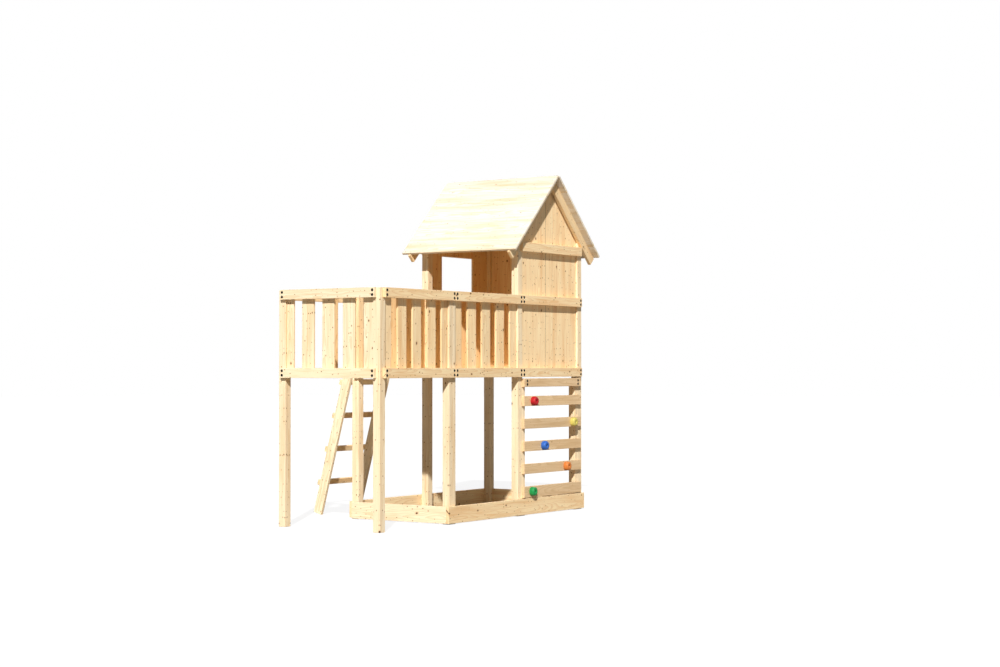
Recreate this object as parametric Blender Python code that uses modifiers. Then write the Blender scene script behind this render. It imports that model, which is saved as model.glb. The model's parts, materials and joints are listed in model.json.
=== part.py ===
"""A wooden stilt playhouse: three bays of posts carry a railed platform, a gabled hut, a sandbox frame,
a climbing wall with grips and a leaning ladder. Metres, +Z up, the ground at Z = 0.

X runs along the three bays and Y across the tower, from the near side to the far side. Places are
worked out from the outer corner of the near left post, and one empty then centres the whole tower.
"""

import math

import bmesh
import bpy
from mathutils import Vector

# Timber sections
POST = 0.065
BOARD = 0.028
RAIL_HEIGHT = 0.076
CLADDING = 0.018
LEDGER = 0.015
EASED_EDGE = 0.0015
GAP = 0.0003
LAP = 0.004

# Tower layout
BAY_1 = 0.905
BAY_2 = 0.953
BAY_3 = 0.9335
DEPTH = 0.990
DECK_TOP = 1.205
LOWER_RAIL_TOP = 1.228
UPPER_RAIL_TOP = 1.833

# Railings
SLAT_WIDTH = 0.120
SLATS_PER_BAY = 5
SLAT_INSET = 0.008
SLAT_FROM_POST = 0.003
ENTRY_SLAT_FROM_POST = 0.223

# Deck
DECK_BOARD = 0.020
DECK_BOARD_WIDTH = 0.092
DECK_BOARD_GAP = 0.006
JOIST_HEIGHT = 0.030
JOIST_INSET = 0.010

# Hut and roof
ROOF_SLOPE = math.radians(45)
RIDGE_UNDERSIDE = 2.8505
ROOF_THICKNESS = 0.018
ROOF_RUN = 0.930
RAFTER_TAIL = 0.011
ROOF_OVERHANG = 0.087
ROOF_BOARDS = 7
COLLAR_BOTTOM = 2.199
WINDOW_LEFT = 0.181
WINDOW_WIDTH = 0.470
GROOVE = 0.002
GABLE_JOINTS = (0.317, 0.417)
END_WALL_BOARD = 0.1075

# Sandbox frame
SANDBOX_HEIGHT = 0.142
SANDBOX_OVERLAP = 0.065

# Climbing wall
BATTEN = 0.040
CROSSPIECE_TOP = 1.140
CROSSPIECE_HEIGHT = 0.070
CLIMB_BOARD_HEIGHT = 0.083
CLIMB_BOARD_PITCH = 0.188
CLIMB_TOP_DROP = 0.147
CLIMB_OVERLAP = 0.011
CLIMB_BOLT_INSET = 0.046
GRIP_RADIUS = 0.039
GRIP_RISE = 0.042
GRIP_HOLE = 0.008
GRIPS = (("red", 0.128), ("yellow", 0.748), ("blue", 0.288), ("orange", 0.641), ("green", 0.108))

# Ladder
LADDER_LEAN = math.radians(15.4)
LADDER_LEFT = 1.066
LADDER_WIDTH = 0.532
LADDER_HEAD_DROP = 0.024
STILE_DEPTH = 0.083
RUNG_HEIGHT = 0.045
RUNG_THICKNESS = 0.024
RUNG_COUNT = 4
RUNG_FIRST = 0.255
RUNG_PITCH = 0.290

# Coach bolts
BOLT_RADIUS = 0.007
BOLT_HEAD = 0.003
BOLT_INSET = 0.020
BOLT_EDGE = 0.0205
BOLT_SIDES = 12

# Where the posts and the outer faces stand, and the heights of the rails and slats
POST_X = (0.0, BAY_1, BAY_1 + BAY_2, BAY_1 + BAY_2 + BAY_3)
LENGTH = POST_X[3] + POST
HUT_LEFT = POST_X[2]
HUT_CLEAR = POST_X[3] - POST_X[2] - POST
RIDGE_X = (HUT_LEFT + LENGTH) / 2
LOWER_RAIL_BOTTOM = LOWER_RAIL_TOP - RAIL_HEIGHT
UPPER_RAIL_BOTTOM = UPPER_RAIL_TOP - RAIL_HEIGHT
CLADDING_DEPTH = LEDGER + CLADDING
SLAT_BOTTOM = LOWER_RAIL_BOTTOM + SLAT_INSET
SLAT_TOP = UPPER_RAIL_TOP - SLAT_INSET

# Colours of the finishes
SPRUCE = (0.83, 0.62, 0.37)
SPRUCE_PALE = (0.90, 0.76, 0.52)
SPRUCE_WARM = (0.72, 0.47, 0.25)
GRIP_COLOURS = {
    "red": (0.58, 0.02, 0.03),
    "yellow": (0.75, 0.62, 0.15),
    "blue": (0.04, 0.15, 0.55),
    "orange": (0.75, 0.21, 0.04),
    "green": (0.01, 0.30, 0.08),
}

# The turn that points a bolt or grip outwards on each side
OUTWARD = {
    "near": (math.pi / 2, 0, 0),
    "far": (-math.pi / 2, 0, 0),
    "left": (0, -math.pi / 2, 0),
    "right": (0, math.pi / 2, 0),
}

for old in list(bpy.data.objects):
    bpy.data.objects.remove(old)

parts = bpy.data.collections.new("stilt_playhouse")
helpers = bpy.data.collections.new("cutters")
bpy.context.scene.collection.children.link(parts)
bpy.context.scene.collection.children.link(helpers)
helpers.hide_render = True

tower = bpy.data.objects.new("tower_origin", None)
parts.objects.link(tower)


def finish(obj, colour, roughness=0.7):
    """Give the piece its own material."""
    material = bpy.data.materials.new(obj.name)
    material.use_nodes = True
    shader = material.node_tree.nodes["Principled BSDF"]
    shader.inputs["Base Color"].default_value = (*colour, 1)
    shader.inputs["Roughness"].default_value = roughness
    shader.inputs["Metallic"].default_value = 0
    obj.data.materials.append(material)


def place(name, data, location, turn, helper=False):
    """Make an object of the mesh or curve, as a piece of the tower or as a helper for a Boolean."""
    obj = bpy.data.objects.new(name, data)
    obj.location = location
    obj.rotation_euler = turn
    obj.parent = tower
    (helpers if helper else parts).objects.link(obj)
    if helper:
        obj.hide_render = True
        obj.display_type = "WIRE"
    return obj


def mesh_of(name, bm):
    """The finished mesh of what was modelled."""
    mesh = bpy.data.meshes.new(name)
    bm.to_mesh(mesh)
    bm.free()
    return mesh


def block(name, low, high, cuts=(), turn=(0, 0, 0), pivot=None, helper=False, eased=True):
    """A board from corner low to corner high, cut off by planes, each a point and its outward normal.

    A turned board gives its corners and cuts in its own axes, from the pivot that it is turned about.
    """
    low, high = Vector(low), Vector(high)
    middle = (low + high) / 2
    origin = middle if pivot is None else Vector()
    bm = bmesh.new()
    bmesh.ops.create_cube(bm, size=1)
    bmesh.ops.scale(bm, vec=high - low, verts=bm.verts)
    bmesh.ops.translate(bm, vec=middle - origin, verts=bm.verts)
    for point, normal in cuts:
        cut = bmesh.ops.bisect_plane(
            bm,
            geom=bm.verts[:] + bm.edges[:] + bm.faces[:],
            plane_co=Vector(point) - origin,
            plane_no=normal,
            clear_outer=True,
        )
        rim = [piece for piece in cut["geom_cut"] if isinstance(piece, bmesh.types.BMEdge)]
        if rim:
            bmesh.ops.edgenet_fill(bm, edges=rim)
    bmesh.ops.recalc_face_normals(bm, faces=bm.faces[:])
    obj = place(name, mesh_of(name, bm), middle if pivot is None else pivot, turn, helper)
    if eased:
        bevel = obj.modifiers.new("Eased edges", "BEVEL")
        bevel.width = EASED_EDGE
        bevel.segments = 1
    return obj


def combine(obj, other, operation):
    """Join a helper onto the piece, or cut it away."""
    boolean = obj.modifiers.new(operation.title(), "BOOLEAN")
    boolean.operation = operation
    boolean.solver = "EXACT"
    boolean.object = other


def on_side(side, along, depth, height):
    """Corners of a box on one side of the tower: its run along the side, its depth in from the posts'
    outer faces, where out is negative, and its height."""
    if side == "near":
        return Vector((along[0], depth[0], height[0])), Vector((along[1], depth[1], height[1]))
    if side == "far":
        low = Vector((along[0], DEPTH - depth[1], height[0]))
        return low, Vector((along[1], DEPTH - depth[0], height[1]))
    if side == "left":
        return Vector((depth[0], along[0], height[0])), Vector((depth[1], along[1], height[1]))
    low = Vector((LENGTH - depth[1], along[0], height[0]))
    return low, Vector((LENGTH - depth[0], along[1], height[1]))


def spot_on_side(side, along, depth, height):
    """The point at this place along a side, at this depth in from the posts' outer faces."""
    return on_side(side, (along, along), (depth, depth), (height, height))[0]


def add_bolt(obj, side, along, height):
    """Join a bolt's head onto the outer face of a board that lies on the posts."""
    bm = bmesh.new()
    bmesh.ops.create_cone(
        bm,
        cap_ends=True,
        segments=BOLT_SIDES,
        radius1=BOLT_RADIUS,
        radius2=BOLT_RADIUS,
        depth=2 * BOLT_HEAD,
    )
    name = f"{obj.name}_bolt"
    spot = spot_on_side(side, along, -GAP - BOARD, height)
    combine(obj, place(name, mesh_of(name, bm), spot, OUTWARD[side], helper=True), "UNION")


def outer_board(name, side, along, bottom, top, bolts=()):
    """A board on the posts' outer faces, with a pair of bolts at each place given along it."""
    low, high = on_side(side, along, (-GAP - BOARD, -GAP), (bottom, top))
    obj = block(name, low, high)
    for run in bolts:
        add_bolt(obj, side, run, bottom + BOLT_EDGE)
        add_bolt(obj, side, run, top - BOLT_EDGE)
    finish(obj, SPRUCE)


def rails(side, middles, number=""):
    """An upper and a lower rail from the first mid post to the last, bolted to each post."""
    start, end = middles[0] + GAP / 2, middles[-1] - GAP / 2
    bolts = [start + BOLT_INSET, *middles[1:-1], end - BOLT_INSET]
    outer_board(f"{side}_upper_rail{number}", side, (start, end), UPPER_RAIL_BOTTOM, UPPER_RAIL_TOP, bolts)
    outer_board(f"{side}_lower_rail{number}", side, (start, end), LOWER_RAIL_BOTTOM, LOWER_RAIL_TOP, bolts)


def railing(name, side, start, end, slats):
    """Upright slats joined to an upper and a lower ledger between two posts."""
    along = (start + GAP, end - GAP)
    low, high = on_side(side, along, (0, LEDGER + LAP), (UPPER_RAIL_BOTTOM, UPPER_RAIL_TOP))
    panel = block(name, low, high)
    for left in slats:
        run = (left, left + SLAT_WIDTH)
        low, high = on_side(side, run, (LEDGER, CLADDING_DEPTH), (SLAT_BOTTOM, SLAT_TOP))
        combine(panel, block(f"{name}_slat", low, high, helper=True), "UNION")
    low, high = on_side(side, along, (0, LEDGER + LAP), (LOWER_RAIL_BOTTOM, LOWER_RAIL_TOP))
    combine(panel, block(f"{name}_ledger", low, high, helper=True), "UNION")
    finish(panel, SPRUCE_PALE if side == "left" else SPRUCE)


def spread(start, end):
    """Left edges of a full set of slats, spaced evenly between two posts."""
    first, last = start + SLAT_FROM_POST, end - SLAT_FROM_POST - SLAT_WIDTH
    step = (last - first) / (SLATS_PER_BAY - 1)
    return [first + step * index for index in range(SLATS_PER_BAY)]


def wall(name, side, start, end, joints, ledger_bottoms):
    """A closed wall of upright boards between two posts and up to the roof, grooved at each joint.

    A ledger behind each rail or collar is joined to its outer face.
    """
    along = (start + GAP, end - GAP)
    low, high = on_side(side, along, (LEDGER, CLADDING_DEPTH), (SLAT_BOTTOM, RIDGE_UNDERSIDE))
    panel = block(name, low, high, UNDER_ROOF)
    reach = GROOVE / math.sqrt(2)
    for joint in joints:
        for depth in (LEDGER, CLADDING_DEPTH):
            groove = block(
                f"{name}_groove",
                (-reach, -reach, 0),
                (reach, reach, RIDGE_UNDERSIDE),
                turn=(0, 0, math.pi / 4),
                pivot=spot_on_side(side, start + joint, depth, 0),
                helper=True,
                eased=False,
            )
            combine(panel, groove, "DIFFERENCE")
    along = (start + SLAT_FROM_POST, end - SLAT_FROM_POST)
    for bottom in ledger_bottoms:
        low, high = on_side(side, along, (0, LEDGER + LAP), (bottom, bottom + RAIL_HEIGHT))
        combine(panel, block(f"{name}_ledger", low, high, helper=True), "UNION")
    finish(panel, SPRUCE_WARM if side == "far" else SPRUCE)
    return panel


def under_slope(side, depth):
    """The plane this deep under the roof's underside, on the left (-1) or right (1) of the ridge."""
    normal = Vector((side * math.sin(ROOF_SLOPE), 0, math.cos(ROOF_SLOPE)))
    return Vector((RIDGE_X, 0, RIDGE_UNDERSIDE)) - depth * normal, normal


UNDER_ROOF = (under_slope(-1, GAP), under_slope(1, GAP))


def make_posts():
    """Two rows of four posts: the first two pairs stop at the rail, the hut's pairs reach the roof."""
    for row, front in (("near", 0.0), ("far", DEPTH - POST)):
        for number, left in enumerate(POST_X, 1):
            in_hut = left >= HUT_LEFT
            top = RIDGE_UNDERSIDE if in_hut else UPPER_RAIL_TOP
            corner = (left + POST, front + POST, top)
            post = block(f"{row}_post_{number}", (left, front, 0), corner, UNDER_ROOF if in_hut else ())
            finish(post, SPRUCE_PALE)


def make_rails():
    """Rails on the posts' outer faces: the near ones meet at mid post, the far ones run through."""
    middles = [left + POST / 2 for left in POST_X]
    for number in (1, 2, 3):
        rails("near", middles[number - 1 : number + 1], f"_{number}")
    rails("far", middles)
    for side in ("left", "right"):
        rails(side, (POST / 2, DEPTH - POST / 2))


def make_railings():
    """Slatted railings round the platform; the far side of the first bay has one slat and is open."""
    first, second = (POST, POST_X[1]), (POST_X[1] + POST, POST_X[2])
    railing("near_railing_1", "near", *first, spread(*first))
    railing("near_railing_2", "near", *second, spread(*second))
    railing("left_railing", "left", POST, DEPTH - POST, spread(POST, DEPTH - POST))
    railing("far_railing", "far", *second, spread(*second))
    railing("entry_railing", "far", *first, [POST_X[1] - ENTRY_SLAT_FROM_POST - SLAT_WIDTH])


def make_walls():
    """The hut's closed walls: both gables follow the roof, and the far one has a window."""
    start, end = HUT_LEFT + POST, POST_X[3]
    ledgers = (LOWER_RAIL_BOTTOM, UPPER_RAIL_BOTTOM, COLLAR_BOTTOM)
    wall("near_gable_wall", "near", start, end, GABLE_JOINTS, ledgers)
    turned_round = [HUT_CLEAR - joint for joint in GABLE_JOINTS]
    far = wall("far_gable_wall", "far", start, end, turned_round, ledgers)
    window = block(
        "window_cutter",
        (start + WINDOW_LEFT, DEPTH / 2, UPPER_RAIL_TOP),
        (start + WINDOW_LEFT + WINDOW_WIDTH, 2 * DEPTH, COLLAR_BOTTOM),
        helper=True,
        eased=False,
    )
    combine(far, window, "DIFFERENCE")
    clear = DEPTH - 2 * POST
    count = round(clear / END_WALL_BOARD)
    joints = [clear * index / count for index in range(1, count)]
    wall("right_wall", "right", POST, DEPTH - POST, joints, ledgers[:2])


def make_deck():
    """Boards laid across three joists; a board beside a post is shortened to fit between the posts."""
    top = DECK_TOP - DECK_BOARD + LAP
    start, end = CLADDING_DEPTH + GAP, LENGTH - CLADDING_DEPTH - GAP
    rows = (POST + JOIST_INSET, (DEPTH - BOARD) / 2, DEPTH - POST - JOIST_INSET - BOARD)
    sizes = [
        ((start + JOIST_INSET, y, top - JOIST_HEIGHT), (end - JOIST_INSET, y + BOARD, top)) for y in rows
    ]
    deck = block("deck", *sizes[0])
    count = round((end - start) / (DECK_BOARD_WIDTH + DECK_BOARD_GAP))
    pitch = (end - start + DECK_BOARD_GAP) / count
    for index in range(count):
        left = start + pitch * index
        right = left + pitch - DECK_BOARD_GAP
        beside = any(left < x + POST + GAP and right > x - GAP for x in POST_X)
        inset = (POST if beside else CLADDING_DEPTH) + GAP
        low, high = (left, inset, DECK_TOP - DECK_BOARD), (right, DEPTH - inset, DECK_TOP)
        combine(deck, block("deck_board", low, high, helper=True), "UNION")
    for low, high in sizes[1:]:
        combine(deck, block("deck_joist", low, high, helper=True), "UNION")
    finish(deck, SPRUCE_WARM)


def slope_outline(side):
    """The end of a boarded roof slope, from the ridge down, with a groove in both faces at each joint."""
    joints = [ROOF_RUN / ROOF_BOARDS * index for index in range(1, ROOF_BOARDS)]
    under, over = [(GAP, 0.0)], [(GAP, ROOF_THICKNESS)]
    for joint in joints:
        under += [(joint - GROOVE, 0.0), (joint, GROOVE), (joint + GROOVE, 0.0)]
        over += [(joint - GROOVE, ROOF_THICKNESS), (joint, ROOF_THICKNESS - GROOVE)]
        over += [(joint + GROOVE, ROOF_THICKNESS)]
    under += [(ROOF_RUN, 0.0)]
    over += [(ROOF_RUN, ROOF_THICKNESS)]
    return [(side * x, y) for x, y in under + over[::-1]]


def make_roof():
    """Two boarded slopes whose lower edges meet at the ridge."""
    for name, side in (("left", -1), ("right", 1)):
        outline = slope_outline(side)
        curve = bpy.data.curves.new(name, "CURVE")
        curve.dimensions = "2D"
        curve.fill_mode = "BOTH"
        curve.extrude = DEPTH / 2 + ROOF_OVERHANG
        spline = curve.splines.new("POLY")
        spline.points.add(len(outline) - 1)
        for point, (x, y) in zip(spline.points, outline):
            point.co = (x, y, 0, 1)
        spline.use_cyclic_u = True
        ridge = (RIDGE_X, DEPTH / 2, RIDGE_UNDERSIDE)
        finish(
            place(f"{name}_roof_slope", curve, ridge, (math.pi / 2, side * ROOF_SLOPE, 0)),
            SPRUCE_PALE,
        )


def make_rafters():
    """The left rafter of each pair runs up to the right slope, and the right one stops under the left."""
    ridge = (RIDGE_X, 0, RIDGE_UNDERSIDE)
    run = ROOF_RUN + RAFTER_TAIL
    for row, front in (("near", -GAP - BOARD), ("far", DEPTH + GAP)):
        for name, side, under in (("left", -1, 0.0), ("right", 1, RAIL_HEIGHT)):
            across = Vector((-side * math.sin(2 * ROOF_SLOPE), 0, math.cos(2 * ROOF_SLOPE)))
            start, end = sorted((side * run, -side * run / 2))
            rafter = block(
                f"{row}_{name}_rafter",
                (start, front, -RAIL_HEIGHT),
                (end, front + BOARD, -GAP),
                cuts=[(-(GAP + under) * across, across)],
                turn=(0, side * ROOF_SLOPE, 0),
                pivot=ridge,
            )
            finish(rafter, SPRUCE)


def make_collars():
    """A level board across each gable, whose upper corners meet the undersides of the rafters."""
    top = COLLAR_BOTTOM + RAIL_HEIGHT
    rafters_meet = RIDGE_UNDERSIDE - RAIL_HEIGHT / math.cos(ROOF_SLOPE)
    half = (rafters_meet - top) / math.tan(ROOF_SLOPE) - GAP / math.sin(ROOF_SLOPE)
    for side in ("near", "far"):
        outer_board(f"{side}_collar", side, (RIDGE_X - half, RIDGE_X + half), COLLAR_BOTTOM, top)


def make_sandbox():
    """Four low boards round the feet of the last six posts."""
    left = POST_X[1] - SANDBOX_OVERLAP
    for side in ("near", "far"):
        outer_board(f"sandbox_{side}_board", side, (left, LENGTH), 0, SANDBOX_HEIGHT)
    low, high = (left, 0, 0), (left + BOARD, DEPTH, SANDBOX_HEIGHT)
    finish(block("sandbox_left_board", low, high), SPRUCE_PALE)
    low, high = on_side("right", (POST + GAP, DEPTH - POST - GAP), (0, BOARD), (0, SANDBOX_HEIGHT))
    finish(block("sandbox_right_board", low, high), SPRUCE)


def grip_profile():
    """Half the section of a rounded grip with a screw hole in its crown, from the axis down to the base."""
    floor = GRIP_RISE * 0.6
    shoulder = GRIP_RISE * 0.25
    points = [(0.0, floor), (GRIP_HOLE, floor), (GRIP_HOLE, GRIP_RISE)]
    for step in range(1, 7):
        angle = math.pi / 2 * (1 - step / 6)
        across = GRIP_HOLE + (GRIP_RADIUS - GRIP_HOLE) * math.cos(angle)
        points.append((across, shoulder + (GRIP_RISE - shoulder) * math.sin(angle)))
    return points + [(GRIP_RADIUS * 0.92, 0.0), (0.0, 0.0)]


def make_grip(name, along, height):
    """A turned grip, screwed flat on the face of a climbing board."""
    bm = bmesh.new()
    points = [bm.verts.new((radius, 0, rise)) for radius, rise in grip_profile()]
    for first, second in zip(points, points[1:]):
        bm.edges.new((first, second))
    spot = spot_on_side("near", along, -BOARD - 2 * GAP, height)
    obj = place(f"{name}_grip", mesh_of(name, bm), spot, OUTWARD["near"])
    turned = obj.modifiers.new("Turned", "SCREW")
    turned.steps = 24
    turned.render_steps = 24
    turned.use_merge_vertices = True
    turned.merge_threshold = 0.00001
    turned.use_smooth_shade = True
    finish(obj, GRIP_COLOURS[name], 0.35)


def make_climbing_wall():
    """Two battens beside the hut's near posts, a bolted crosspiece and five boards, each with a grip."""
    left, right = HUT_LEFT + POST, POST_X[3]
    for name, run in (("left", (left + GAP, left + BATTEN)), ("right", (right - BATTEN, right - GAP))):
        low, high = on_side("near", run, (0, POST), (0, CROSSPIECE_TOP))
        finish(block(f"climbing_{name}_batten", low, high), SPRUCE)
    along = (left - CLIMB_OVERLAP, right + CLIMB_OVERLAP)
    bolts = (along[0] + CLIMB_BOLT_INSET, along[1] - CLIMB_BOLT_INSET)
    bottom = CROSSPIECE_TOP - CROSSPIECE_HEIGHT
    outer_board("climbing_crosspiece", "near", along, bottom, CROSSPIECE_TOP, bolts)
    for number, (name, from_left) in enumerate(GRIPS):
        top = CROSSPIECE_TOP - CLIMB_TOP_DROP - number * CLIMB_BOARD_PITCH
        bottom = top - CLIMB_BOARD_HEIGHT
        outer_board(f"climbing_board_{number + 1}", "near", along, bottom, top)
        make_grip(name, along[0] + from_left, (top + bottom) / 2)


def make_ladder():
    """Two stiles that lean on the far railing under its upper rail, with rungs across their outer edges."""
    sink = EASED_EDGE * math.sin(LADDER_LEAN)
    head_y = DEPTH - LEDGER + GAP - sink
    length = (UPPER_RAIL_BOTTOM - LADDER_HEAD_DROP + sink) / math.cos(LADDER_LEAN)
    foot = (0, head_y + length * math.sin(LADDER_LEAN), -sink)
    turn = (LADDER_LEAN, 0, 0)
    right = LADDER_LEFT + LADDER_WIDTH
    for name, left in (("left", LADDER_LEFT), ("right", right - BOARD)):
        corner = (left + BOARD, STILE_DEPTH, length)
        stile = block(f"ladder_{name}_stile", (left, 0, 0), corner, turn=turn, pivot=foot)
        finish(stile, SPRUCE_PALE)
    front = STILE_DEPTH + GAP
    for number in range(RUNG_COUNT):
        bottom = RUNG_FIRST + number * RUNG_PITCH - RUNG_HEIGHT / 2
        low = (LADDER_LEFT, front, bottom)
        high = (right, front + RUNG_THICKNESS, bottom + RUNG_HEIGHT)
        finish(block(f"ladder_rung_{number + 1}", low, high, turn=turn, pivot=foot), SPRUCE)


def centre_tower():
    """Move the tower so that its bounding box stands centred over the origin."""
    bpy.context.view_layer.update()
    graph = bpy.context.evaluated_depsgraph_get()
    points = []
    for obj in parts.objects:
        if obj.type != "EMPTY":
            piece = obj.evaluated_get(graph)
            points += [piece.matrix_world @ vertex.co for vertex in piece.to_mesh().vertices]
            piece.to_mesh_clear()
    for axis in (0, 1):
        places = [point[axis] for point in points]
        tower.location[axis] = -(min(places) + max(places)) / 2


make_posts()
make_rails()
make_railings()
make_walls()
make_deck()
make_roof()
make_rafters()
make_collars()
make_sandbox()
make_climbing_wall()
make_ladder()
centre_tower()
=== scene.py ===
"""The looks of the stilt playhouse: planed spruce boards with their own grain and knots, black bolt heads,
moulded grips, a pale floor and studio light. Metres, +Z up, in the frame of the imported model.
"""

import json
import math
import random

import bmesh
import bpy
from mathutils import Matrix, Vector

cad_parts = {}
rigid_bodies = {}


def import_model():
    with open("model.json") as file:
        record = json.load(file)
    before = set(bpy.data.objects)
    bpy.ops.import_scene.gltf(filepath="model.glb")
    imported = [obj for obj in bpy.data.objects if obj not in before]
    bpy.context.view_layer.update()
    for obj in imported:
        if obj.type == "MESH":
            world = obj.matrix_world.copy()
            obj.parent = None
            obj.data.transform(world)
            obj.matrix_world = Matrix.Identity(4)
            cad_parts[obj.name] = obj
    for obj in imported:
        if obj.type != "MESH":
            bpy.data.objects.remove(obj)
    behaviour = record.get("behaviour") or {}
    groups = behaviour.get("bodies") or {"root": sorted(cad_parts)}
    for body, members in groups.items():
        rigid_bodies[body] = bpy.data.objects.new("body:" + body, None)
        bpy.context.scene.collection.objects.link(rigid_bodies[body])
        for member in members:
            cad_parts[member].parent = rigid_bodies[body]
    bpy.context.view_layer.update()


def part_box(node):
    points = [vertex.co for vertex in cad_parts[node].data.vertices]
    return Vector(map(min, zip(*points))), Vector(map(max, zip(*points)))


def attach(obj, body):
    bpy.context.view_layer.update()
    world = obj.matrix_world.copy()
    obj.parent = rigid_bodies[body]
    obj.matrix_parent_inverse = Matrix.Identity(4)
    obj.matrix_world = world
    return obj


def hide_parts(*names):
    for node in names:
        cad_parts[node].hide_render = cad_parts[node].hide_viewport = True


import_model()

# Timber sections and places, as in the part's source
POST = 0.065
BOARD = 0.028
RAIL_HEIGHT = 0.076
CLADDING = 0.018
LEDGER = 0.015
EASED_EDGE = 0.0015
GAP = 0.0003
BAYS = (0.905, 0.953, 0.9335)
DEPTH = 0.990
DECK_TOP = 1.205
LOWER_RAIL_TOP = 1.228
UPPER_RAIL_TOP = 1.833
SLAT_INSET = 0.008
SLAT_FROM_POST = 0.003
ENTRY_SLAT_FROM_POST = 0.223
DECK_BOARD = 0.020
DECK_BOARD_WIDTH = 0.092
DECK_BOARD_GAP = 0.006
JOIST_INSET = 0.010
ROOF_SLOPE = math.radians(45)
RIDGE_UNDERSIDE = 2.8505
ROOF_THICKNESS = 0.018
ROOF_RUN = 0.930
RAFTER_TAIL = 0.011
ROOF_OVERHANG = 0.087
ROOF_BOARDS = 7
COLLAR_BOTTOM = 2.199
WINDOW_LEFT = 0.181
WINDOW_WIDTH = 0.470
LADDER_LEAN = math.radians(15.4)
LADDER_LEFT = 1.066
LADDER_WIDTH = 0.532
LADDER_HEAD_DROP = 0.024
STILE_DEPTH = 0.083
RUNG_HEIGHT = 0.045
RUNG_THICKNESS = 0.024
RUNG_COUNT = 4
RUNG_FIRST = 0.255
RUNG_PITCH = 0.290
BOLT_HEAD = 0.003
BOLT_INSET = 0.020
BOLT_EDGE = 0.0205
CLIMB_BOLT_INSET = 0.046

# Sizes that follow the photo more closely than the solids do
SLAT_WIDTH = 0.1165
SLAT_PITCH = 0.201
SHORT_BAY_SLAT_WIDTH = 0.108
SHORT_BAY_SLAT_PITCH = 0.1885
SLAT_TRIM = 0.0135
LEAST_SLAT = 0.030
ENTRY_SLAT_WIDTH = 0.120
OUT_OF_SUN_FROM = 1.50  # slats of the far railing right of this are out of the sun in the photo
PACKING_STRIP = 0.021
SECOND_POST_LEFT_BOARD = 0.051
GABLE_JOINTS = (0.380, 0.487)
# The dark strips in the gable's open joints are painted shade
GABLE_JOINT_SHADE_STRIPS = ((0.0022, 0.42), (0.0015, 0.72))  # half width and tone of the dark strip in each joint
END_WALL_BOARDS = 8
JOIST_BOTTOM = 1.159
SANDBOX_BOTTOM = 0.009
SANDBOX_LEFT_SHORT = 0.045
LOWEST_CLIMBING_BOARD_DROP = 0.010

# Edges, bolt heads and the tones of the rafters, where 1 is a board of plain tone; the rafters' tones are
# painted shade, the right rafter's most
BOARD_EDGE = 0.0022
ROOF_BOARD_EDGE = 0.0018
WALL_BOARD_EDGE = 0.0006
BOLT_RADIUS = 0.0115
DOME_RADIUS = 0.72 * BOLT_RADIUS
WASHER_HEIGHT = 0.0012
DOME_HEIGHT = 0.0024
DOME_ROWS = 4
DOME_STEPS = 16
RAFTER_SHADE_TONES = {"left": 0.97, "right": 0.86}

POST_X = [sum(BAYS[:count]) for count in range(4)]
LENGTH = POST_X[3] + POST
HUT = (POST_X[2] + POST, POST_X[3])
RIDGE_X = (POST_X[2] + LENGTH) / 2
LOWER_RAIL_BOTTOM = LOWER_RAIL_TOP - RAIL_HEIGHT
UPPER_RAIL_BOTTOM = UPPER_RAIL_TOP - RAIL_HEIGHT
CLADDING_DEPTH = LEDGER + CLADDING
SLAT_BOTTOM = LOWER_RAIL_BOTTOM + SLAT_INSET
SLAT_TOP = UPPER_RAIL_TOP - SLAT_INSET
SECOND_POST_LEFT = POST_X[1] - PACKING_STRIP

# Everything below is placed from the outer corner of the near left post
ORIGIN = Matrix.Translation(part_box("near_post_1")[0])
UNIT = Matrix.Identity(4)
RIDGE = Matrix.Translation((RIDGE_X, 0, RIDGE_UNDERSIDE))
OUTWARD = {
    "near": Matrix.Rotation(math.pi / 2, 4, "X"),
    "far": Matrix.Rotation(-math.pi / 2, 4, "X"),
    "left": Matrix.Rotation(-math.pi / 2, 4, "Y"),
    "right": Matrix.Rotation(math.pi / 2, 4, "Y"),
}

# Each board's grain is drawn from these: shift of the pattern along it, place of the pith across it, as a
# share of its width, and behind it, slope of the grain both ways, and tone
dice = random.Random(7)
PATTERN_SHIFT = 40
PITH_ASIDE = 0.4
PITH_DEPTH = (0.02, 0.09)
GRAIN_SLOPES = (0.012, 0.03)
TONES = (0.93, 1.04)

# Knots: cells per metre along and across a board, share of cells without a knot, largest radius in cells
LARGE_KNOTS = ((5.0, 7.5, 0.0), 0.55, 0.060)
SMALL_KNOTS = ((19.0, 27.0, 0.0), 0.35, 0.105)
KNOT_CORE = (0.06, 0.025, 0.01)
KNOT_RIM = (0.33, 0.15, 0.055)
KNOT_HALO = (0.62, 0.36, 0.14)

# Boards that face the platform or the hut get a warmer tint, painted bounce light and shade between the
# tower's walls, from this deep inside the tower's outer faces
PAINTED_BOUNCE_TINT = (1.0, 0.94, 0.84)
PLAIN = (1.0, 1.0, 1.0)
INSIDE = 0.020

GRIP_COLOURS = {
    "red": (0.46, 0.008, 0.014),
    "yellow": (0.66, 0.56, 0.13),
    "blue": (0.03, 0.13, 0.50),
    "orange": (0.66, 0.20, 0.04),
    "green": (0.008, 0.28, 0.065),
}
# Radius and height of a grip's outline, from its base over the crown into the dish, as shares of its own
GRIP_SIDE = ((0.90, 0.0), (0.97, 0.05), (1.0, 0.15), (1.0, 0.45), (0.985, 0.64), (0.94, 0.80))
GRIP_CROWN = ((0.86, 0.92), (0.72, 0.985), (0.52, 1.0), (0.34, 0.985), (0.25, 0.92), (0.22, 0.62))
GRIP_STEPS = 48
GRIP_LOBE = 0.045

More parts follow.
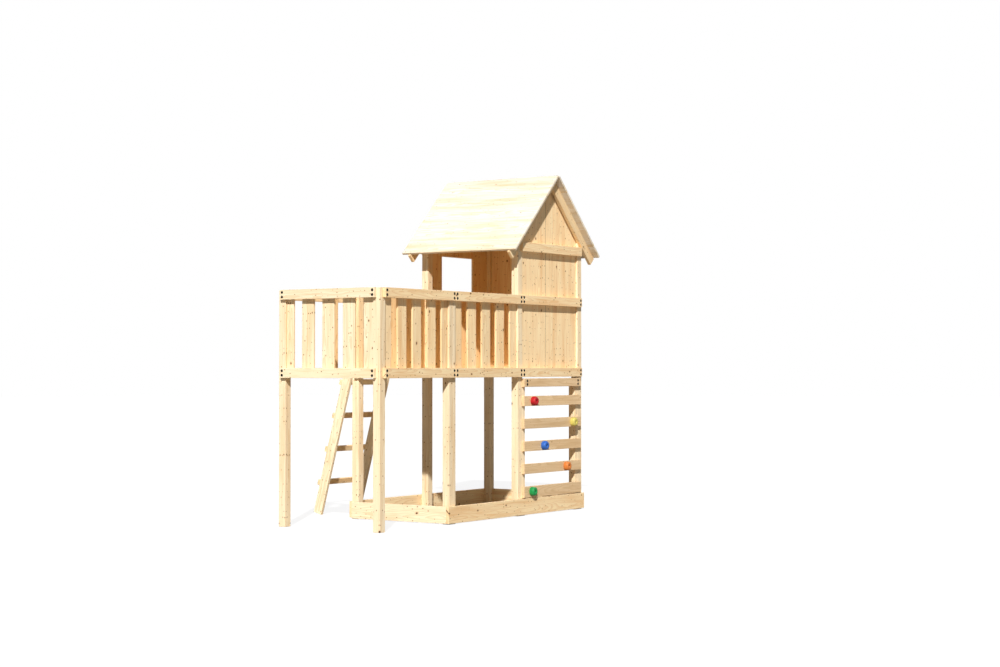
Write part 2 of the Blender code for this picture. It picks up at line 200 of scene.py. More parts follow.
# In the photo the sun reaches PAST_FIRST_BAY as if FIRST_BAY cast no shadow, and doesn't reach OUT_OF_SUN
PAST_FIRST_BAY = ("far_post_2", "far_post_3", "ladder_", "sandbox_")
OUT_OF_SUN = ("far_gable_wall_first", "far_railing_last")
FIRST_BAY = (
    "near_post_1",
    "far_post_1",
    "left_upper",
    "left_lower",
    "left_railing",
    "far_upper",
    "far_lower",
    "near_upper_rail_1",
    "near_lower_rail_1",
    "near_railing_1",
    "entry_railing",
    "deck_first_bay",
)
SUN = {"energy": 4.9, "angle": math.radians(1.5), "towards": (1.6, 1.0, -1.36)}
FILL = {"energy": 1.0, "angle": math.radians(90), "towards": (-1.0, -1.2, -0.8)}
WORLD_LIGHT = 0.12
FLOOR_RADIUS = 60
FLOOR_DROP = 0.0005
FLOOR_LIT = (0.34, 0.31, 0.27)
FLOOR_SEEN = (0.15, 0.15, 0.15)
FLOOR_GLOW = 0.88
CAMERA_PLACE = (-10.931, -8.514, 1.245)
CAMERA_TOWARDS = (0.8270, 0.5622, math.tan(math.radians(1.0)))
CAMERA_LENS = 66.73


def node(tree, kind, links=None, **settings):
    """A shader node with its settings, and its inputs set to values or linked to other outputs."""
    made = tree.nodes.new(kind)
    for name, value in settings.items():
        setattr(made, name, value)
    for name, value in (links or {}).items():
        if isinstance(value, bpy.types.NodeSocket):
            tree.links.new(value, made.inputs[name])
        else:
            made.inputs[name].default_value = value
    return made


def maths(tree, operation, first, second=0.5):
    """The output of a Math node."""
    return node(tree, "ShaderNodeMath", {0: first, 1: second}, operation=operation).outputs[0]


def vector_maths(tree, operation, first, second=(0, 0, 0)):
    """The output of a Vector Math node."""
    return node(tree, "ShaderNodeVectorMath", {0: first, 1: second}, operation=operation).outputs[0]


def noise(tree, vector, factors, detail=2.0):
    """Noise between 0 and 1 on the vector times these factors."""
    links = {"Vector": vector_maths(tree, "MULTIPLY", vector, factors), "Scale": 1.0, "Detail": detail}
    return node(tree, "ShaderNodeTexNoise", links).outputs["Fac"]


def span(tree, value, low, high, to_low=0.0, to_high=1.0, smooth=True):
    """The value's place between low and high, eased if smooth, as a number between to_low and to_high."""
    links = {"Value": value, "From Min": low, "From Max": high, "To Min": to_low, "To Max": to_high}
    kind = "SMOOTHSTEP" if smooth else "LINEAR"
    return node(tree, "ShaderNodeMapRange", links, interpolation_type=kind).outputs["Result"]


def mix(tree, fac, first, second, blend="MIX"):
    """A colour between two, or blended by them."""
    made = tree.nodes.new("ShaderNodeMix")
    made.data_type = "RGBA"
    made.blend_type = blend
    sockets = {"Factor_Float": fac, "A_Color": first, "B_Color": second}
    for socket in made.inputs:
        if socket.identifier in sockets:
            value = sockets[socket.identifier]
            if isinstance(value, bpy.types.NodeSocket):
                tree.links.new(value, socket)
            else:
                socket.default_value = (*value, 1) if isinstance(value, tuple) else value
    return next(out for out in made.outputs if out.identifier == "Result_Color")


def new_material(name):
    """A material with its tree and its shader."""
    material = bpy.data.materials.new(name)
    material.use_nodes = True
    return material, material.node_tree, material.node_tree.nodes["Principled BSDF"]


def knot_distance(tree, place, knot_size, cells_per_metre, bare_share, largest):
    """Distance from the nearest knot in its own radii, for knots scattered along the faces of a board."""
    parts = node(tree, "ShaderNodeSeparateXYZ", {0: place}).outputs
    round_board = node(tree, "ShaderNodeCombineXYZ", {0: parts[0], 1: maths(tree, "ADD", parts[1], parts[2])})
    cells = node(
        tree,
        "ShaderNodeTexVoronoi",
        {"Vector": vector_maths(tree, "MULTIPLY", round_board.outputs[0], cells_per_metre), "Scale": 1.0},
        voronoi_dimensions="2D",
    )
    chance = node(tree, "ShaderNodeSeparateColor", {0: cells.outputs["Color"]}).outputs[0]
    radius = span(tree, chance, bare_share, 1.0, 0.0, largest * knot_size, smooth=False)
    above_nought = maths(tree, "ADD", radius, 0.002)
    return maths(tree, "DIVIDE", cells.outputs["Distance"], above_nought)


def growth_rings(tree, place, halo):
    """The late wood of the growth rings, which wander slowly and bend round the knots."""
    wander = maths(tree, "MULTIPLY", maths(tree, "SUBTRACT", noise(tree, place, (1.4, 7.0, 7.0), 3.0)), 0.05)
    shift = maths(tree, "ADD", wander, maths(tree, "MULTIPLY", halo, 0.012))
    offset = node(tree, "ShaderNodeCombineXYZ", {0: 0.0, 1: shift, 2: shift}).outputs[0]
    rings = node(
        tree,
        "ShaderNodeTexWave",
        {
            "Vector": vector_maths(tree, "ADD", place, offset),
            "Scale": 46.0,
            "Distortion": 0.6,
            "Detail": 2.0,
            "Detail Scale": 1.0,
        },
        wave_type="RINGS",
        rings_direction="X",
        wave_profile="SAW",
    )
    return span(tree, rings.outputs["Fac"], 0.35, 0.95)


def inside_of(tree, low, high):
    """One inside this box of the tower, and nought outside it."""
    low, high = ORIGIN @ Vector(low), ORIGIN @ Vector(high)
    place = node(tree, "ShaderNodeTexCoord").outputs["Object"]
    own = vector_maths(tree, "SUBTRACT", place, (low + high) / 2)
    share = vector_maths(tree, "ABSOLUTE", vector_maths(tree, "DIVIDE", own, (high - low) / 2))
    parts = node(tree, "ShaderNodeSeparateXYZ", {0: share}).outputs
    widest = maths(tree, "MAXIMUM", maths(tree, "MAXIMUM", parts[0], parts[1]), parts[2])
    return maths(tree, "LESS_THAN", widest, 1.0)


def inside_tower(tree):
    """One on what faces the platform or the inside of the hut, and nought elsewhere: the mask of the painted
    bounce tint.
    """
    far_right = (LENGTH - INSIDE, DEPTH - INSIDE)
    platform = inside_of(tree, (INSIDE, INSIDE, LOWER_RAIL_BOTTOM), (*far_right, SLAT_TOP))
    hut = inside_of(tree, (HUT[0], INSIDE, LOWER_RAIL_BOTTOM), (*far_right, RIDGE_UNDERSIDE))
    return maths(tree, "MAXIMUM", platform, hut)


def make_wood(name, pale, late, knot_size=1.0, inside=PAINTED_BOUNCE_TINT):
    """Planed spruce: growth rings round a pith beside each board, fibres, a slow change of tone and knots,
    and a warmer tint of painted bounce light on the faces inside the tower.

    A board's own attributes say where the grain runs and how dark the board is. The factors of each noise
    are its cells per metre along, across and through the board.
    """
    material, tree, shader = new_material(name)
    place = node(tree, "ShaderNodeAttribute", attribute_name="grain").outputs["Vector"]
    tone = node(tree, "ShaderNodeAttribute", attribute_name="tone").outputs["Fac"]
    from_knot = maths(
        tree,
        "MINIMUM",
        knot_distance(tree, place, knot_size, *LARGE_KNOTS),
        knot_distance(tree, place, knot_size, *SMALL_KNOTS),
    )
    halo = span(tree, from_knot, 0.8, 2.6, 1.0, 0.0)
    latewood = growth_rings(tree, place, halo)
    fibre = noise(tree, place, (7.0, 420.0, 420.0))
    broad = noise(tree, place, (1.3, 17.0, 17.0), 4.0)
    streak = noise(tree, place, (3.0, 90.0, 90.0), 4.0)

    wood = mix(tree, maths(tree, "MULTIPLY", latewood, 0.45), pale, late)
    wood = mix(tree, span(tree, broad, 0.45, 0.75, 0.0, 0.6), wood, late)
    wood = mix(tree, span(tree, streak, 0.5, 0.75, 0.0, 0.55), wood, late)
    dull = maths(tree, "MULTIPLY", span(tree, fibre, 0.3, 0.7, 0.955, 1.03, smooth=False), tone)
    grey = node(tree, "ShaderNodeCombineColor", {0: dull, 1: dull, 2: dull}).outputs[0]
    wood = mix(tree, 1.0, wood, grey, "MULTIPLY")
    wood = mix(tree, maths(tree, "MULTIPLY", halo, 0.3), wood, KNOT_HALO)
    knot = mix(tree, span(tree, from_knot, 0.3, 1.0), KNOT_CORE, KNOT_RIM)
    wood = mix(tree, span(tree, from_knot, 0.75, 1.05, 1.0, 0.0), wood, knot)
    # Painted bounce light and shade: faces inside the tower are tinted warmer
    wood = mix(tree, inside_tower(tree), wood, mix(tree, 1.0, wood, inside, "MULTIPLY"))
    tree.links.new(wood, shader.inputs["Base Color"])

    tree.links.new(span(tree, fibre, 0.2, 0.8, 0.52, 0.68), shader.inputs["Roughness"])
    shader.inputs["Specular IOR Level"].default_value = 0.3
    height = maths(tree, "ADD", maths(tree, "MULTIPLY", latewood, 0.6), fibre)
    bump = node(tree, "ShaderNodeBump", {"Height": height, "Strength": 0.25, "Distance": 0.0004})
    tree.links.new(bump.outputs[0], shader.inputs["Normal"])
    return material


def make_black_steel():
    """Black coated steel of the bolt heads."""
    material, tree, shader = new_material("black_steel")
    place = node(tree, "ShaderNodeTexCoord").outputs["Object"]
    patch = noise(tree, place, (260.0, 260.0, 260.0))
    colour = mix(tree, patch, (0.005, 0.005, 0.004), (0.016, 0.014, 0.012))
    tree.links.new(colour, shader.inputs["Base Color"])
    tree.links.new(span(tree, patch, 0.3, 0.7, 0.55, 0.7), shader.inputs["Roughness"])
    shader.inputs["Specular IOR Level"].default_value = 0.15
    return material


def make_plastic(name, colour):
    """Moulded plastic with a fine cast texture, for the grips."""
    material, tree, shader = new_material(name)
    place = node(tree, "ShaderNodeTexCoord").outputs["Object"]
    patch = noise(tree, place, (40.0, 40.0, 40.0), 3.0)
    grit = noise(tree, place, (900.0, 900.0, 900.0))
    darker = tuple(value * 0.82 for value in colour)
    tree.links.new(mix(tree, patch, darker, colour), shader.inputs["Base Color"])
    tree.links.new(span(tree, patch, 0.3, 0.7, 0.40, 0.52), shader.inputs["Roughness"])
    shader.inputs["Specular IOR Level"].default_value = 0.35
    bump = node(tree, "ShaderNodeBump", {"Height": grit, "Strength": 0.2, "Distance": 0.0003})
    tree.links.new(bump.outputs[0], shader.inputs["Normal"])
    return material


# The paler post wood on the boards of the left end, which faces the sun, is painted light; the same boards on
# the other sides take the more tan board wood
WOODS = {
    "post": make_wood("spruce_post", (0.93, 0.78, 0.54), (0.75, 0.49, 0.24)),
    "board": make_wood("spruce_board", (0.97, 0.76, 0.46), (0.78, 0.45, 0.19)),
    "roof": make_wood("spruce_roof", (0.81, 0.75, 0.665), (0.68, 0.49, 0.22), 0.7, PLAIN),
    "climb": make_wood("spruce_climb", (0.79, 0.57, 0.335), (0.60, 0.38, 0.18), 0.5),
}
STEEL = make_black_steel()


def box_of(node_name):
    """The node's lowest and highest corners, from the tower's own corner."""
    return [corner - ORIGIN.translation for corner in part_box(node_name)]


def piece_of(name, bm, material, smooth=False):
    """A piece of the tower with this mesh, moved to the model's own frame."""
    bmesh.ops.transform(bm, matrix=ORIGIN, verts=bm.verts)
    mesh = bpy.data.meshes.new(name)
    bm.to_mesh(mesh)
    bm.free()
    if smooth:
        mesh.shade_smooth()
        mesh.set_sharp_from_angle(angle=math.radians(40))
    mesh.materials.append(material)
    obj = bpy.data.objects.new(name, mesh)
    bpy.context.scene.collection.objects.link(obj)
    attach(obj, "root")
    return obj


def cut_off(bm, point, normal):
    """Cut off what lies beyond the plane, and close the cut."""
    cut = bmesh.ops.bisect_plane(
        bm,
        geom=bm.verts[:] + bm.edges[:] + bm.faces[:],
        plane_co=point,
        plane_no=normal,
        clear_outer=True,
    )
    rim = [part for part in cut["geom_cut"] if isinstance(part, bmesh.types.BMEdge)]
    if rim:
        bmesh.ops.edgenet_fill(bm, edges=rim)


class Boards:
    """Boards gathered into one mesh, each with its own grain."""

    def __init__(self, matrix=UNIT):
        self.matrix = matrix
        self.bm = bmesh.new()
        self.grain = self.bm.verts.layers.float_vector.new("grain")
        self.tone = self.bm.verts.layers.float.new("tone")

    def add(self, low, high, along, cuts=(), ease=BOARD_EDGE, tone=None):
        """A board from corner low to corner high, its grain along an axis, cut off by planes."""
        low, high = Vector(low), Vector(high)
        size, middle = high - low, (low + high) / 2
        bm = bmesh.new()
        bmesh.ops.create_cube(bm, size=1)
        bmesh.ops.scale(bm, vec=size, verts=bm.verts)
        bmesh.ops.translate(bm, vec=middle, verts=bm.verts)
        for point, normal in cuts:
            cut_off(bm, point, normal)
        bmesh.ops.recalc_face_normals(bm, faces=bm.faces[:])
        if ease:
            bmesh.ops.bevel(bm, geom=bm.edges[:], offset=ease, segments=2, profile=0.5, affect="EDGES")
        wide, thin = sorted((axis for axis in range(3) if axis != along), key=lambda axis: -size[axis])
        pith = Vector(
            (
                dice.uniform(-PATTERN_SHIFT, PATTERN_SHIFT),
                dice.uniform(-PITH_ASIDE, PITH_ASIDE) * size[wide],
                dice.uniform(*PITH_DEPTH),
            )
        )
        slope = [dice.uniform(-limit, limit) for limit in GRAIN_SLOPES]
        face = dice.choice((-1, 1))
        shade = dice.uniform(*TONES) if tone is None else tone
        made = {}
        for vertex in bm.verts:
            own = vertex.co - middle
            run = own[along]
            grain = Vector((run, own[wide] + slope[0] * run, face * own[thin] + slope[1] * run))
            made[vertex] = self.bm.verts.new(self.matrix @ vertex.co)
            made[vertex][self.grain] = grain + pith
            made[vertex][self.tone] = shade
        for side in bm.faces:
            self.bm.faces.new([made[vertex] for vertex in side.verts])
        bm.free()
        return self

    def finish(self, node_name, ending, material):
        """The piece, which rides on the tower and stands for this node."""
        obj = piece_of(f"{node_name}_{ending}", self.bm, material)
        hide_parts(node_name)


def on_side(side, along, depth, height):
    """Corners of a box on one side of the tower, as in the part's source."""
    if side == "near":
        return Vector((along[0], depth[0], height[0])), Vector((along[1], depth[1], height[1]))
    if side == "far":
        low = Vector((along[0], DEPTH - depth[1], height[0]))
        return low, Vector((along[1], DEPTH - depth[0], height[1]))
    if side == "left":
        return Vector((depth[0], along[0], height[0])), Vector((depth[1], along[1], height[1]))
    low = Vector((LENGTH - depth[1], along[0], height[0]))
    return low, Vector((LENGTH - depth[0], along[1], height[1]))


def loft(bm, rings):
    """A closed skin through rings of as many points each."""
    before = None
    for points in rings:
        ring = [bm.verts.new(point) for point in points]
        if before:
            for step in range(len(ring)):
                after = (step + 1) % len(ring)
                bm.faces.new((before[step], before[after], ring[after], ring[step]))
        else:
            bm.faces.new(ring[::-1])
        before = ring
    bm.faces.new(before)


def add_bolt(bm, side, along, height):
    """A domed bolt head on a washer, on the outer face of a board."""
    depth = -GAP - BOARD
    spot = on_side(side, (along, along), (depth, depth), (height, height))[0]
    place = Matrix.Translation(spot) @ OUTWARD[side]
    bmesh.ops.create_cone(
        bm,
        cap_ends=True,
        segments=24,
        radius1=BOLT_RADIUS,
        radius2=BOLT_RADIUS * 0.94,
        depth=WASHER_HEIGHT,
        matrix=place @ Matrix.Translation((0, 0, 0.0002)),
    )
    turns = [2 * math.pi * step / DOME_STEPS for step in range(DOME_STEPS)]
    rings = []
    for row in range(DOME_ROWS):
        angle = math.pi / 2 * row / DOME_ROWS
        reach = DOME_RADIUS * math.cos(angle)
        rise = WASHER_HEIGHT / 2 + DOME_HEIGHT * math.sin(angle)
        ring = [Vector((reach * math.cos(turn), reach * math.sin(turn), rise)) for turn in turns]
        rings.append([place @ point for point in ring])
    loft(bm, rings)


def outer_board(node_name, side, bolts=(), kind="board", lower=0.0):
    """A board on the posts' outer faces, in the node's place, and its bolt heads."""
    low, high = box_of(node_name)
    low.z -= lower
    axis = 0 if side in ("near", "far") else 1
    across = 1 - axis
    if bolts:
        if side in ("near", "left"):
            low[across] += BOLT_HEAD
        else:
            high[across] -= BOLT_HEAD
    Boards().add(low, high, axis).finish(node_name, "timber", WOODS[kind])
    if bolts:
        bm = bmesh.new()
        for along in bolts:
            add_bolt(bm, side, along, low.z + BOLT_EDGE)
            add_bolt(bm, side, along, high.z - BOLT_EDGE)
        piece_of(f"{node_name}_bolt_heads", bm, STEEL, smooth=True)


def under_slope(side):
    """The plane just under the roof, left (-1) or right (1) of the ridge."""
    normal = Vector((side * math.sin(ROOF_SLOPE), 0, math.cos(ROOF_SLOPE)))
    return Vector((RIDGE_X, 0, RIDGE_UNDERSIDE)) - GAP * normal, normal


UNDER_ROOF = (under_slope(-1), under_slope(1))


def make_posts():
    """Eight posts, of which those of the hut reach the roof and near post 2 is two boards side by side."""
    for row, front in (("near", 0.0), ("far", DEPTH - POST)):
        for number, left in enumerate(POST_X, 1):
            in_hut = number > 2
            top = RIDGE_UNDERSIDE if in_hut else UPPER_RAIL_TOP
            boards = Boards()
            start = left
            if (row, number) == ("near", 2):
                start = SECOND_POST_LEFT + SECOND_POST_LEFT_BOARD
                boards.add((SECOND_POST_LEFT, front, 0), (start - GAP, front + POST, top), 2)
            boards.add((start, front, 0), (left + POST, front + POST, top), 2, UNDER_ROOF if in_hut else ())
            boards.finish(f"{row}_post_{number}", "timber", WOODS["post"])


def make_rails():
    """Upper and lower rails, bolted to the posts they pass."""
    middles = [left + POST / 2 for left in POST_X]
    runs = [("near", middles[number - 1 : number + 1], f"_{number}") for number in (1, 2, 3)]
    runs += [("far", middles, "")]
    runs += [(side, (POST / 2, DEPTH - POST / 2), "") for side in ("left", "right")]
    for side, run, number in runs:
        start, end = run[0] + GAP / 2, run[-1] - GAP / 2
        bolts = [start + BOLT_INSET, *run[1:-1], end - BOLT_INSET]
        for height in ("upper", "lower"):
            # Painted light: the left end, which faces the sun, takes the paler post wood
            kind = "post" if side == "left" else "board"
            outer_board(f"{side}_{height}_rail{number}", side, bolts, kind)


def spread(start, end, width=SLAT_WIDTH, pitch=SLAT_PITCH):
    """Both edges of each slat between two posts, with the first and the last trimmed to fit."""
    runs = []
    left, low, high = start - SLAT_TRIM, start + SLAT_FROM_POST, end - SLAT_FROM_POST
    while left < high - LEAST_SLAT:
        runs.append((max(left, low), min(left + width, high)))
        left += pitch
    return runs


def make_railings():
    """Slats on two ledgers between the posts. The far railing's last slats are a piece of their own."""
    first, second = (POST, SECOND_POST_LEFT), (POST_X[1] + POST, POST_X[2])
    end_run = (POST, DEPTH - POST)
    entry_right = POST_X[1] - ENTRY_SLAT_FROM_POST
    panels = [
        ("near_railing_1", "near", first, spread(*first, SHORT_BAY_SLAT_WIDTH, SHORT_BAY_SLAT_PITCH)),
        ("near_railing_2", "near", second, spread(*second)),
        ("left_railing", "left", end_run, spread(*end_run)),
        ("far_railing", "far", second, spread(*second)),
        ("entry_railing", "far", (POST, POST_X[1]), [(entry_right - ENTRY_SLAT_WIDTH, entry_right)]),
    ]
    for name, side, (start, end), slats in panels:
        axis = 1 if side == "left" else 0
        boards, last = Boards(), Boards()
        for bottom in (LOWER_RAIL_BOTTOM, UPPER_RAIL_BOTTOM):
            low, high = on_side(side, (start + GAP, end - GAP), (0, LEDGER), (bottom, bottom + RAIL_HEIGHT))
            boards.add(low, high, axis)
        for run in slats:
            low, high = on_side(side, run, (LEDGER + GAP, CLADDING_DEPTH), (SLAT_BOTTOM, SLAT_TOP))
            part = last if name == "far_railing" and run[0] > OUT_OF_SUN_FROM else boards
            part.add(low, high, 2)
        if name == "far_railing":
            piece_of(f"{name}_last_boards", last.bm, WOODS["board"])
        # Painted light: the left end, which faces the sun, takes the paler post wood
        boards.finish(name, "boards", WOODS["post" if side == "left" else "board"])


def around_window(run, window):
    """The parts of an upright board, each its run and heights, that the window leaves."""
    whole = (SLAT_BOTTOM, RIDGE_UNDERSIDE)
    if not window:
        return [(run, whole)]
    left, right, sill, head = window
    parts = []
    inside = (max(run[0], left), min(run[1], right))
    if inside[0] < inside[1]:
        parts += [(inside, (SLAT_BOTTOM, sill)), (inside, (head, RIDGE_UNDERSIDE))]
    if run[0] < left:
        parts.append(((run[0], min(run[1], left)), whole))
    if run[1] > right:
        parts.append(((max(run[0], right), run[1]), whole))
    return parts


def make_wall(name, side, start, end, joints, ledger_bottoms, window=None, shade_strips=()):
    """Upright boards side by side with eased edges, dark strips of painted shade in open joints, and the
    ledgers.
    """
    boards, first_boards = Boards(), Boards()
    depth = (LEDGER + GAP, CLADDING_DEPTH)
    places = [start + joint for joint in joints]
    shade_strips = shade_strips or [(0.0, None)] * len(joints)
    for place, (half, tone) in zip(places, shade_strips):
        # A dark strip of painted shade stands in the open joint
        if half:
            low, high = on_side(side, (place - half, place + half), depth, (SLAT_BOTTOM, RIDGE_UNDERSIDE))
            boards.add(low, high, 2, UNDER_ROOF, ease=0, tone=tone)
    edges = [start + GAP, *places, end - GAP]
    clear = [GAP, *[half + GAP for half, tone in shade_strips], GAP]
    for left, right, before, after in zip(edges, edges[1:], clear, clear[1:]):
        part = first_boards if side == "far" and left < start + WINDOW_LEFT else boards
        for run, heights in around_window((left + before, right - after), window):
            low, high = on_side(side, run, depth, heights)
            part.add(low, high, 2, UNDER_ROOF, ease=WALL_BOARD_EDGE)
    for bottom in ledger_bottoms:
        run = (start + SLAT_FROM_POST, end - SLAT_FROM_POST)
        low, high = on_side(side, run, (0, LEDGER), (bottom, bottom + RAIL_HEIGHT))
        boards.add(low, high, 1 if side == "right" else 0)
    if side == "far":
        piece_of(f"{name}_first_boards", first_boards.bm, WOODS["board"])
    boards.finish(name, "boards", WOODS["board"])


def make_walls():
    """The near wall, the far wall with the window, and the closed right end of the hut."""
    ledgers = (LOWER_RAIL_BOTTOM, UPPER_RAIL_BOTTOM, COLLAR_BOTTOM)
    make_wall("near_gable_wall", "near", *HUT, GABLE_JOINTS, ledgers, shade_strips=GABLE_JOINT_SHADE_STRIPS)
    far_joints = sorted(HUT[1] - HUT[0] - joint for joint in GABLE_JOINTS)
    left = HUT[0] + WINDOW_LEFT
    window = (left, left + WINDOW_WIDTH, UPPER_RAIL_TOP, COLLAR_BOTTOM)
    make_wall("far_gable_wall", "far", *HUT, far_joints, ledgers, window)
    clear = DEPTH - 2 * POST
    joints = [clear * index / END_WALL_BOARDS for index in range(1, END_WALL_BOARDS)]
    make_wall("right_wall", "right", POST, DEPTH - POST, joints, ledgers[:2])


def make_deck():
    """Deck boards, cut off at the posts, on three joists. Those of the first bay are a piece of their own."""
    boards, first_bay = Boards(), Boards()
    start, end = CLADDING_DEPTH + GAP, LENGTH - CLADDING_DEPTH - GAP
    count = round((end - start) / (DECK_BOARD_WIDTH + DECK_BOARD_GAP))
    pitch = (end - start + DECK_BOARD_GAP) / count
    for index in range(count):
        left = start + pitch * index
        right = left + pitch - DECK_BOARD_GAP
        beside = any(left < x + POST + GAP and right > x - GAP for x in POST_X)
        inset = (POST if beside else CLADDING_DEPTH) + GAP
        part = first_bay if right < POST_X[1] else boards
        part.add((left, inset, DECK_TOP - DECK_BOARD), (right, DEPTH - inset, DECK_TOP), 1)
    top = DECK_TOP - DECK_BOARD - GAP
    for y in (POST + JOIST_INSET, (DEPTH - BOARD) / 2, DEPTH - POST - JOIST_INSET - BOARD):
        boards.add((POST_X[1], y, JOIST_BOTTOM), (end - JOIST_INSET, y + BOARD, top), 0)
        first_bay.add((start + JOIST_INSET, y, JOIST_BOTTOM), (POST_X[1] - GAP, y + BOARD, top), 0)
    boards.finish("deck", "boards", WOODS["board"])
    piece_of("deck_first_bay_boards", first_bay.bm, WOODS["board"])


def make_roof():
    """Two slopes of boards side by side that meet at the ridge."""
    width = (ROOF_RUN - GAP) / ROOF_BOARDS
    for name, side in (("left", -1), ("right", 1)):
        boards = Boards(RIDGE @ Matrix.Rotation(side * ROOF_SLOPE, 4, "Y"))
        for index in range(ROOF_BOARDS):
            run = sorted((side * (GAP + width * index), side * (GAP + width * (index + 1) - GAP)))
            low, high = (run[0], -ROOF_OVERHANG, 0), (run[1], DEPTH + ROOF_OVERHANG, ROOF_THICKNESS)
            boards.add(low, high, 1, ease=ROOF_BOARD_EDGE)
        boards.finish(f"{name}_roof_slope", "boards", WOODS["roof"])


def make_rafters():
    """Rafters on both gables, the right one ending under the left one at the ridge, and the collars."""
    run = ROOF_RUN + RAFTER_TAIL
    for row, front in (("near", -GAP - BOARD), ("far", DEPTH + GAP)):
        for name, side, under in (("left", -1, 0.0), ("right", 1, RAIL_HEIGHT)):
            across = Vector((-side * math.sin(2 * ROOF_SLOPE), 0, math.cos(2 * ROOF_SLOPE)))
            start, end = sorted((side * run, -side * run / 2))
            boards = Boards(RIDGE @ Matrix.Rotation(side * ROOF_SLOPE, 4, "Y"))
            low, high = (start, front, -RAIL_HEIGHT), (end, front + BOARD, -GAP)
            # The rafter's tone is painted shade under the roof's overhang
            boards.add(low, high, 0, [(-(GAP + under) * across, across)], tone=RAFTER_SHADE_TONES[name])
            boards.finish(f"{row}_{name}_rafter", "timber", WOODS["board"])
    for side in ("near", "far"):
        outer_board(f"{side}_collar", side)


def make_sandbox():
    """Four low boards. The left one is short of the far side and has a block to far post 2."""
    for side, axis in (("near", 0), ("far", 0), ("left", 1), ("right", 1)):
        name = f"sandbox_{side}_board"
        low, high = box_of(name)
        low.z = SANDBOX_BOTTOM
        boards = Boards()
        if side == "left":
            high.y = DEPTH - SANDBOX_LEFT_SHORT
            corner = (POST_X[1] - GAP, high.y - BOARD / 2, high.z - BOLT_EDGE)
            boards.add((high.x + GAP, high.y - BOARD, low.z + BOLT_EDGE), corner, 0)
        if side == "far":
            low.x = POST_X[1]
        # Painted light: the left board, which faces the sun, takes the paler post wood
        boards.add(low, high, axis).finish(name, "timber", WOODS["post" if side == "left" else "board"])


def make_climbing_wall():
    """Two battens, the bolted crosspiece and five boards."""
    for side in ("left", "right"):
        name = f"climbing_{side}_batten"
        Boards().add(*box_of(name), 2).finish(name, "timber", WOODS["post"])
    low, high = box_of("climbing_crosspiece")
    bolts = (low.x + CLIMB_BOLT_INSET, high.x - CLIMB_BOLT_INSET)
    outer_board("climbing_crosspiece", "near", bolts, "climb")
    for number in range(1, 6):
        lower = LOWEST_CLIMBING_BOARD_DROP if number == 5 else 0.0
        outer_board(f"climbing_board_{number}", "near", kind="climb", lower=lower)


def make_grips():
    """Rounded grips with a lobed side, a dished crown and the head of a screw in it."""
    turns = [2 * math.pi * step / GRIP_STEPS for step in range(GRIP_STEPS)]
    for name, colour in GRIP_COLOURS.items():
        node_name = f"{name}_grip"
        low, high = box_of(node_name)
        radius, rise = (high.x - low.x) / 2, high.y - low.y
        place = Matrix.Translation(((low.x + high.x) / 2, high.y, (low.z + high.z) / 2)) @ OUTWARD["near"]
        lobes, phase = dice.randint(3, 4), dice.uniform(0, 6)
        rings = []
        for across, up in GRIP_SIDE + GRIP_CROWN:
            ring = []
            for turn in turns:
                lobe = (1 + math.sin(lobes * turn + phase)) * math.sin(math.pi * min(up, 0.9))
                reach = radius * across * (1 - GRIP_LOBE * lobe)
                ring.append(place @ Vector((reach * math.cos(turn), reach * math.sin(turn), rise * up)))
            rings.append(ring)
        bm = bmesh.new()
        loft(bm, rings)
        material = make_plastic(f"plastic_{name}", colour)
        grip = piece_of(f"{name}_grip_body", bm, material, smooth=True)
        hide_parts(node_name)
        bm = bmesh.new()
        bmesh.ops.create_cone(
            bm,
            cap_ends=True,
            segments=6,
            radius1=radius * 0.15,
            radius2=radius * 0.14,
            depth=rise * 0.14,
            matrix=place @ Matrix.Translation((0, 0, rise * 0.66)),
        )
        piece_of(f"{name}_grip_screw", bm, STEEL)


def make_ladder():
    """Two stiles that lean on the far railing under its upper rail, with rungs across their outer edges."""
    sink = EASED_EDGE * math.sin(LADDER_LEAN)
    head_y = DEPTH - LEDGER + GAP - sink
    length = (UPPER_RAIL_BOTTOM - LADDER_HEAD_DROP + sink) / math.cos(LADDER_LEAN)
    foot = Matrix.Translation((0, head_y + length * math.sin(LADDER_LEAN), -sink))
    turn = foot @ Matrix.Rotation(LADDER_LEAN, 4, "X")
    right = LADDER_LEFT + LADDER_WIDTH
    for name, left in (("left", LADDER_LEFT), ("right", right - BOARD)):
        boards = Boards(turn).add((left, 0, 0), (left + BOARD, STILE_DEPTH, length), 2)
        boards.finish(f"ladder_{name}_stile", "timber", WOODS["post"])
    front = STILE_DEPTH + GAP
    for number in range(RUNG_COUNT):
        bottom = RUNG_FIRST + number * RUNG_PITCH - RUNG_HEIGHT / 2
        low, high = (LADDER_LEFT, front, bottom), (right, front + RUNG_THICKNESS, bottom + RUNG_HEIGHT)
        Boards(turn).add(low, high, 0).finish(f"ladder_rung_{number + 1}", "timber", WOODS["board"])


def make_floor():
    """A pale floor that keeps the tower's shadow and throws a little light back."""
    bm = bmesh.new()
    bmesh.ops.create_circle(bm, cap_ends=True, segments=96, radius=FLOOR_RADIUS)
    mesh = bpy.data.meshes.new("floor")
    bm.to_mesh(mesh)
    bm.free()
    floor = bpy.data.objects.new("floor", mesh)
    floor.location.z = -FLOOR_DROP
    bpy.context.scene.collection.objects.link(floor)
    material, tree, shader = new_material("floor")
    tree.nodes.remove(shader)
    seen = node(tree, "ShaderNodeLightPath").outputs["Is Camera Ray"]
    diffuse = node(tree, "ShaderNodeBsdfDiffuse", {"Color": mix(tree, seen, FLOOR_LIT, FLOOR_SEEN)})
    glow = node(tree, "ShaderNodeEmission", {"Strength": maths(tree, "MULTIPLY", seen, FLOOR_GLOW)})
    both = node(tree, "ShaderNodeAddShader", {0: diffuse.outputs[0], 1: glow.outputs[0]})
    tree.links.new(both.outputs[0], tree.nodes["Material Output"].inputs["Surface"])
    mesh.materials.append(material)


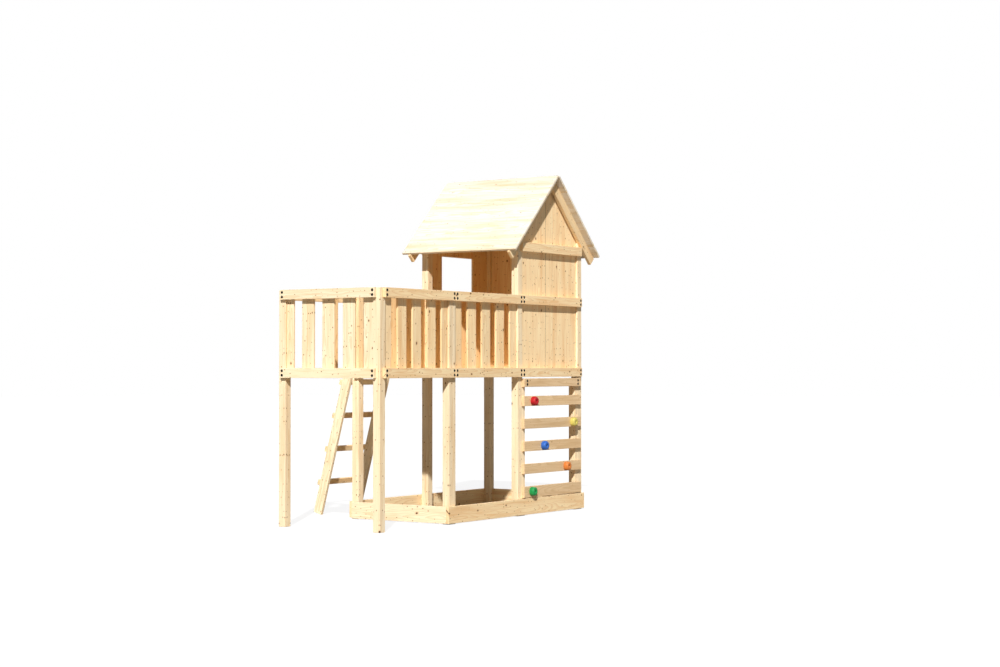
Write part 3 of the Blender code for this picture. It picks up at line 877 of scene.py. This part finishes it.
def make_world():
    """A white surround that is seen directly and in gloss, and lights the tower only a little."""
    world = bpy.data.worlds.new("studio")
    bpy.context.scene.world = world
    world.use_nodes = True
    tree = world.node_tree
    path = node(tree, "ShaderNodeLightPath")
    seen = maths(tree, "MAXIMUM", path.outputs["Is Camera Ray"], path.outputs["Is Glossy Ray"])
    seen = maths(tree, "MAXIMUM", seen, path.outputs["Is Transmission Ray"])
    background = tree.nodes["Background"]
    strength = span(tree, seen, 0.0, 1.0, WORLD_LIGHT, 1.0, smooth=False)
    tree.links.new(strength, background.inputs["Strength"])
    background.inputs["Color"].default_value = (1, 1, 1, 1)


def linked_pieces(name, starts, state):
    """A collection of the pieces whose names start so, which a lamp takes in or leaves out."""
    group = bpy.data.collections.new(name)
    for obj in bpy.context.scene.collection.all_objects:
        own = obj.name.endswith(("timber", "boards", "heads"))
        if obj.type == "MESH" and own and obj.name.startswith(starts):
            group.objects.link(obj)
    for member in group.collection_objects:
        member.light_linking.link_state = state
    return group


def make_sun(name, energy, angle, towards):
    """A far lamp that shines in this direction."""
    lamp = bpy.data.lights.new(name, "SUN")
    lamp.energy = energy
    lamp.angle = angle
    sun = bpy.data.objects.new(name, lamp)
    sun.rotation_euler = Vector(towards).to_track_quat("-Z", "Y").to_euler()
    bpy.context.scene.collection.objects.link(sun)
    return sun


def make_lamps():
    """The sun, the same sun for what it reaches past the first bay, and a soft fill from behind."""
    sun = make_sun("sun", **SUN)
    not_in_sun = linked_pieces("not_in_sun", PAST_FIRST_BAY + OUT_OF_SUN, "EXCLUDE")
    sun.light_linking.receiver_collection = not_in_sun
    past = make_sun("sun_past_first_bay", **SUN)
    past.light_linking.receiver_collection = linked_pieces("past_first_bay", PAST_FIRST_BAY, "INCLUDE")
    past.light_linking.blocker_collection = linked_pieces("first_bay", FIRST_BAY, "EXCLUDE")
    make_sun("fill", **FILL)


def make_camera():
    """The photo's own view."""
    camera_data = bpy.data.cameras.new("camera")
    camera_data.sensor_width = 36
    camera_data.lens = CAMERA_LENS
    camera_data.clip_end = 200
    camera = bpy.data.objects.new("camera", camera_data)
    camera.location = ORIGIN @ Vector(CAMERA_PLACE)
    camera.rotation_euler = Vector(CAMERA_TOWARDS).to_track_quat("-Z", "Y").to_euler()
    bpy.context.scene.collection.objects.link(camera)
    bpy.context.scene.camera = camera
    bpy.context.scene.view_settings.view_transform = "Standard"


make_posts()
make_rails()
make_railings()
make_walls()
make_deck()
make_roof()
make_rafters()
make_sandbox()
make_climbing_wall()
make_grips()
make_ladder()
make_floor()
make_world()
make_lamps()
make_camera()
